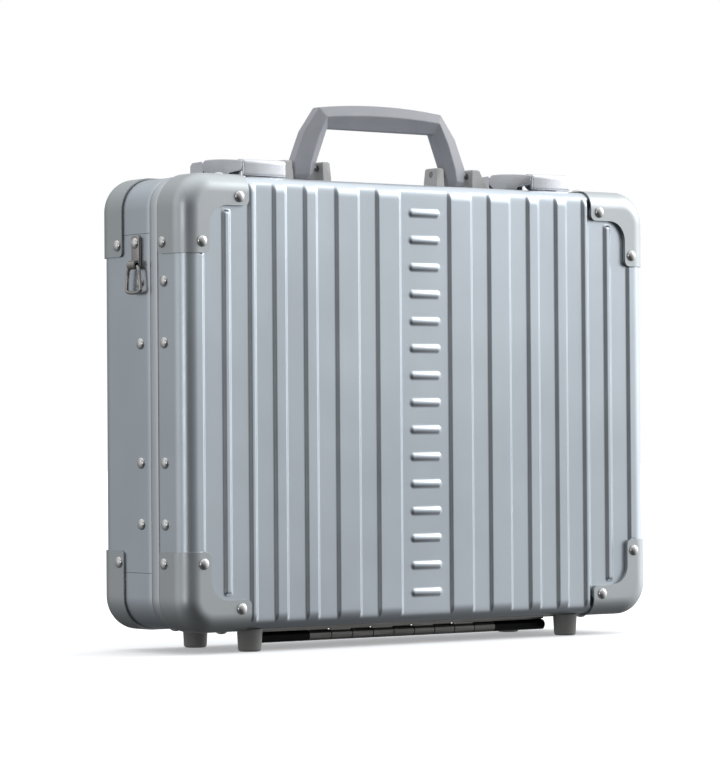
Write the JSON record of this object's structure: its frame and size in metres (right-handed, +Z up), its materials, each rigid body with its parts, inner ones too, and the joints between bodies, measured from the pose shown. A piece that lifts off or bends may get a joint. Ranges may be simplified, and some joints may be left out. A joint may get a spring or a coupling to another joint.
{
  "type": "aluminium attache case",
  "caption": "Upright aluminium attache case with pressed vertical ribs, riveted corner caps, a folding handle, latches, strap rings, a piano hinge and lid stays.",
  "frame": {"origin": "on the surface the case stands on, under the middle of the shell", "axes": "+X to the right along the width, -Y towards the lid's panel, +Z up towards the handle"},
  "size_m": [0.4644, 0.1168, 0.4147],
  "materials": {
    "shell": "satin anodised, faint pressed-sheet waviness",
    "frame": "fine brushed extrusion, anodised",
    "cap": "fine bead-blasted",
    "latch": "satin chrome plating",
    "rivet": "polished dome heads",
    "steel": "dark nickel plated",
    "grip": "fine moulded grain",
    "bracket": "warm grey powder coat",
    "foot": "moulded",
    "seal": "extruded",
    "lining": "short dark pile",
    "dial": "moulded, ten grip flats"
  },
  "bodies": {
    "base": {"base_shell": "shell", "base_frame": "frame", "base_lining": "lining", "gasket": "seal", "cap_base_top_left": "cap", "cap_base_top_right": "cap", "cap_base_bottom_left": "cap", "cap_base_bottom_right": "cap", "handle_bracket_left": "bracket", "handle_pin_left": "steel", "latch_body_left": "latch", "latch_pin_left": "steel", "dial_shaft_left": "steel", "strap_tab_left": "steel", "foot_base_left": "foot", "stay_bracket_base_left": "steel", "handle_bracket_right": "bracket", "handle_pin_right": "steel", "latch_body_right": "latch", "latch_pin_right": "steel", "dial_shaft_right": "steel", "strap_tab_right": "steel", "foot_base_right": "foot", "stay_bracket_base_right": "steel", "hinge_leaf_base": "frame", "hinge_pin": "steel"},
    "lid": {"lid_shell": "shell", "lid_frame": "frame", "lid_lining": "lining", "lid_pocket": "lining", "cap_lid_top_left": "cap", "cap_lid_top_right": "cap", "cap_lid_bottom_left": "cap", "cap_lid_bottom_right": "cap", "hinge_leaf_lid": "frame", "latch_keeper_left": "latch", "foot_lid_left": "foot", "stay_bracket_lid_left": "steel", "latch_keeper_right": "latch", "foot_lid_right": "foot", "stay_bracket_lid_right": "steel"},
    "handle": {"handle": "grip"},
    "latch_lever_left": {"latch_lever_left": "latch"},
    "dial_left_1": {"dial_left_1": "dial"},
    "dial_left_2": {"dial_left_2": "dial"},
    "dial_left_3": {"dial_left_3": "dial"},
    "strap_ring_left": {"strap_ring_left": "steel"},
    "stay_base_left": {"stay_base_left": "frame"},
    "stay_lid_left": {"stay_lid_left": "frame"},
    "latch_lever_right": {"latch_lever_right": "latch"},
    "dial_right_1": {"dial_right_1": "dial"},
    "dial_right_2": {"dial_right_2": "dial"},
    "dial_right_3": {"dial_right_3": "dial"},
    "strap_ring_right": {"strap_ring_right": "steel"},
    "stay_base_right": {"stay_base_right": "frame"},
    "stay_lid_right": {"stay_lid_right": "frame"}
  },
  "joints": [
    {"name": "lid_hinge", "type": "hinge", "parent": "base", "child": "lid", "pos_m": [0, -0.021, 0.0087], "axis": [1, 0, 0], "range_deg": [0, 88]},
    {"name": "handle_pivot", "type": "hinge", "parent": "base", "child": "handle", "pos_m": [0, 0.004, 0.364], "axis": [1, 0, 0], "range_deg": [-85, 85]},
    {"name": "latch_left", "type": "hinge", "parent": "base", "child": "latch_lever_left", "pos_m": [-0.14, 0.0099, 0.362], "axis": [-1, 0, 0], "range_deg": [0, 90]},
    {"name": "dial_turn_left_1", "type": "hinge", "parent": "base", "child": "dial_left_1", "pos_m": [-0.148, 0.0247, 0.36], "axis": [1, 0, 0], "continuous": true},
    {"name": "dial_turn_left_2", "type": "hinge", "parent": "base", "child": "dial_left_2", "pos_m": [-0.14, 0.0247, 0.36], "axis": [1, 0, 0], "continuous": true},
    {"name": "dial_turn_left_3", "type": "hinge", "parent": "base", "child": "dial_left_3", "pos_m": [-0.132, 0.0247, 0.36], "axis": [1, 0, 0], "continuous": true},
    {"name": "strap_ring_swing_left", "type": "hinge", "parent": "base", "child": "strap_ring_left", "pos_m": [-0.2288, 0.0044, 0.286], "axis": [0, 1, 0], "range_deg": [0, 150]},
    {"name": "stay_base_turn_left", "type": "hinge", "parent": "base", "child": "stay_base_left", "pos_m": [0, 0.0279, 0.0443], "axis": [1, 0, 0], "range_deg": [0, 90.1]},
    {"name": "stay_lid_turn_left", "type": "hinge", "parent": "lid", "child": "stay_lid_left", "pos_m": [0, -0.035, 0.0874], "axis": [1, 0, 0], "range_deg": [-89.2, 0]},
    {"name": "latch_right", "type": "hinge", "parent": "base", "child": "latch_lever_right", "pos_m": [0.14, 0.0099, 0.362], "axis": [-1, 0, 0], "range_deg": [0, 90]},
    {"name": "dial_turn_right_1", "type": "hinge", "parent": "base", "child": "dial_right_1", "pos_m": [0.132, 0.0247, 0.36], "axis": [1, 0, 0], "continuous": true},
    {"name": "dial_turn_right_2", "type": "hinge", "parent": "base", "child": "dial_right_2", "pos_m": [0.14, 0.0247, 0.36], "axis": [1, 0, 0], "continuous": true},
    {"name": "dial_turn_right_3", "type": "hinge", "parent": "base", "child": "dial_right_3", "pos_m": [0.148, 0.0247, 0.36], "axis": [1, 0, 0], "continuous": true},
    {"name": "strap_ring_swing_right", "type": "hinge", "parent": "base", "child": "strap_ring_right", "pos_m": [0.2288, 0.0044, 0.286], "axis": [0, -1, 0], "range_deg": [0, 150]},
    {"name": "stay_base_turn_right", "type": "hinge", "parent": "base", "child": "stay_base_right", "pos_m": [0, 0.0279, 0.0443], "axis": [1, 0, 0], "range_deg": [0, 90.1]},
    {"name": "stay_lid_turn_right", "type": "hinge", "parent": "lid", "child": "stay_lid_right", "pos_m": [0, -0.035, 0.0874], "axis": [1, 0, 0], "range_deg": [-89.2, 0]}
  ],
  "couplings": [
    {"joint": "stay_base_turn_left", "follows": "lid_hinge", "ratio": 1.018},
    {"joint": "stay_lid_turn_left", "follows": "lid_hinge", "ratio": -1.0083},
    {"joint": "stay_base_turn_right", "follows": "lid_hinge", "ratio": 1.018},
    {"joint": "stay_lid_turn_right", "follows": "lid_hinge", "ratio": -1.0083}
  ]
}
